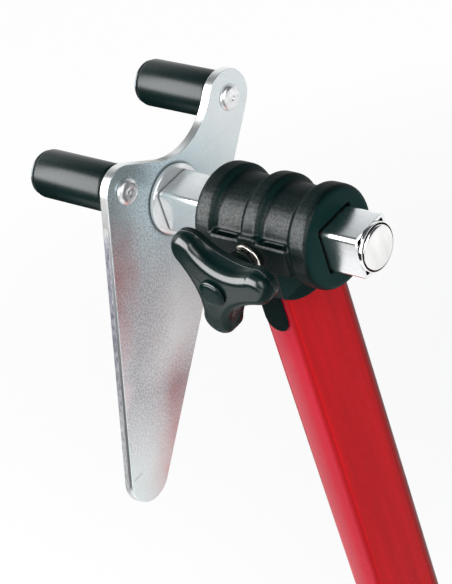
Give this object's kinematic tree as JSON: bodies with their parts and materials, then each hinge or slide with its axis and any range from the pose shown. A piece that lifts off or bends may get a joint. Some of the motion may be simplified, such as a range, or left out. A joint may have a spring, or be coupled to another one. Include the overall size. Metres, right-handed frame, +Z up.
{
  "type": "roller stand",
  "caption": "Workshop roller stand: a red post carries a black ribbed collar in which a square bar slides, with a zinc side plate and level black rollers",
  "frame": {"origin": "on the floor under the post's axis, on the underside of the rubber sheet", "axes": "+Z up the post, +X along the bar towards its capped end, -Y towards the clamp knob"},
  "size_m": [0.1959, 0.1683, 0.4456],
  "materials": {
    "red_coat": "satin red powder coat",
    "base_rubber": "matt black sheet",
    "raw_steel": "machined, unplated",
    "zinc_steel": "bright zinc plate over rolled steel",
    "cap_chrome": "polished",
    "collar_plastic": "fine moulded texture",
    "knob_plastic": "moulded gloss",
    "roller_plastic": "turned satin black",
    "washer_nylon": "natural",
    "bearing_bronze": "sintered"
  },
  "bodies": {
    "stand": {"base_pad": "base_rubber", "base_plate": "red_coat", "foot_weld": "red_coat", "post": "red_coat", "post_plug": "raw_steel", "collar_screw": "raw_steel", "collar": "collar_plastic", "clamp_nut": "raw_steel"},
    "clamp": {"pressure_pad": "bearing_bronze"},
    "knob": {"clamp_stud": "raw_steel", "spring_washer": "zinc_steel", "clamp_knob": "knob_plastic", "knob_cap": "knob_plastic"},
    "arm": {"square_bar": "zinc_steel", "bar_end_cap": "cap_chrome", "bar_flange": "zinc_steel", "flange_washer": "zinc_steel", "flange_screw": "zinc_steel", "side_plate": "zinc_steel", "left_pin": "zinc_steel", "left_thrust_washer": "washer_nylon", "left_end_washer": "zinc_steel", "right_pin": "zinc_steel", "right_thrust_washer": "washer_nylon", "right_end_washer": "zinc_steel"},
    "left_roller_set": {"left_roller": "roller_plastic", "left_inner_bush": "bearing_bronze", "left_outer_bush": "bearing_bronze"},
    "right_roller_set": {"right_roller": "roller_plastic", "right_inner_bush": "bearing_bronze", "right_outer_bush": "bearing_bronze"}
  },
  "joints": [
    {"name": "bar_slide", "type": "slide", "parent": "stand", "child": "arm", "axis": [1, 0, 0], "range_m": [-0.018, 0.03]},
    {"name": "clamp_travel", "type": "slide", "parent": "stand", "child": "clamp", "axis": [0, -1, 0], "range_m": [0, 0.0026]},
    {"name": "knob_turn", "type": "hinge", "parent": "clamp", "child": "knob", "pos_m": [0, -0.042, 0.405], "axis": [0, -1, 0], "range_deg": [0, 720]},
    {"name": "left_roller_spin", "type": "hinge", "parent": "arm", "child": "left_roller_set", "pos_m": [-0.0805, -0.0286, 0.43], "axis": [1, 0, 0], "continuous": true},
    {"name": "right_roller_spin", "type": "hinge", "parent": "arm", "child": "right_roller_set", "pos_m": [-0.0805, 0.0584, 0.43], "axis": [1, 0, 0], "continuous": true}
  ],
  "couplings": [
    {"joint": "clamp_travel", "follows": "knob_turn", "m_per_rad": 0.00019894}
  ]
}
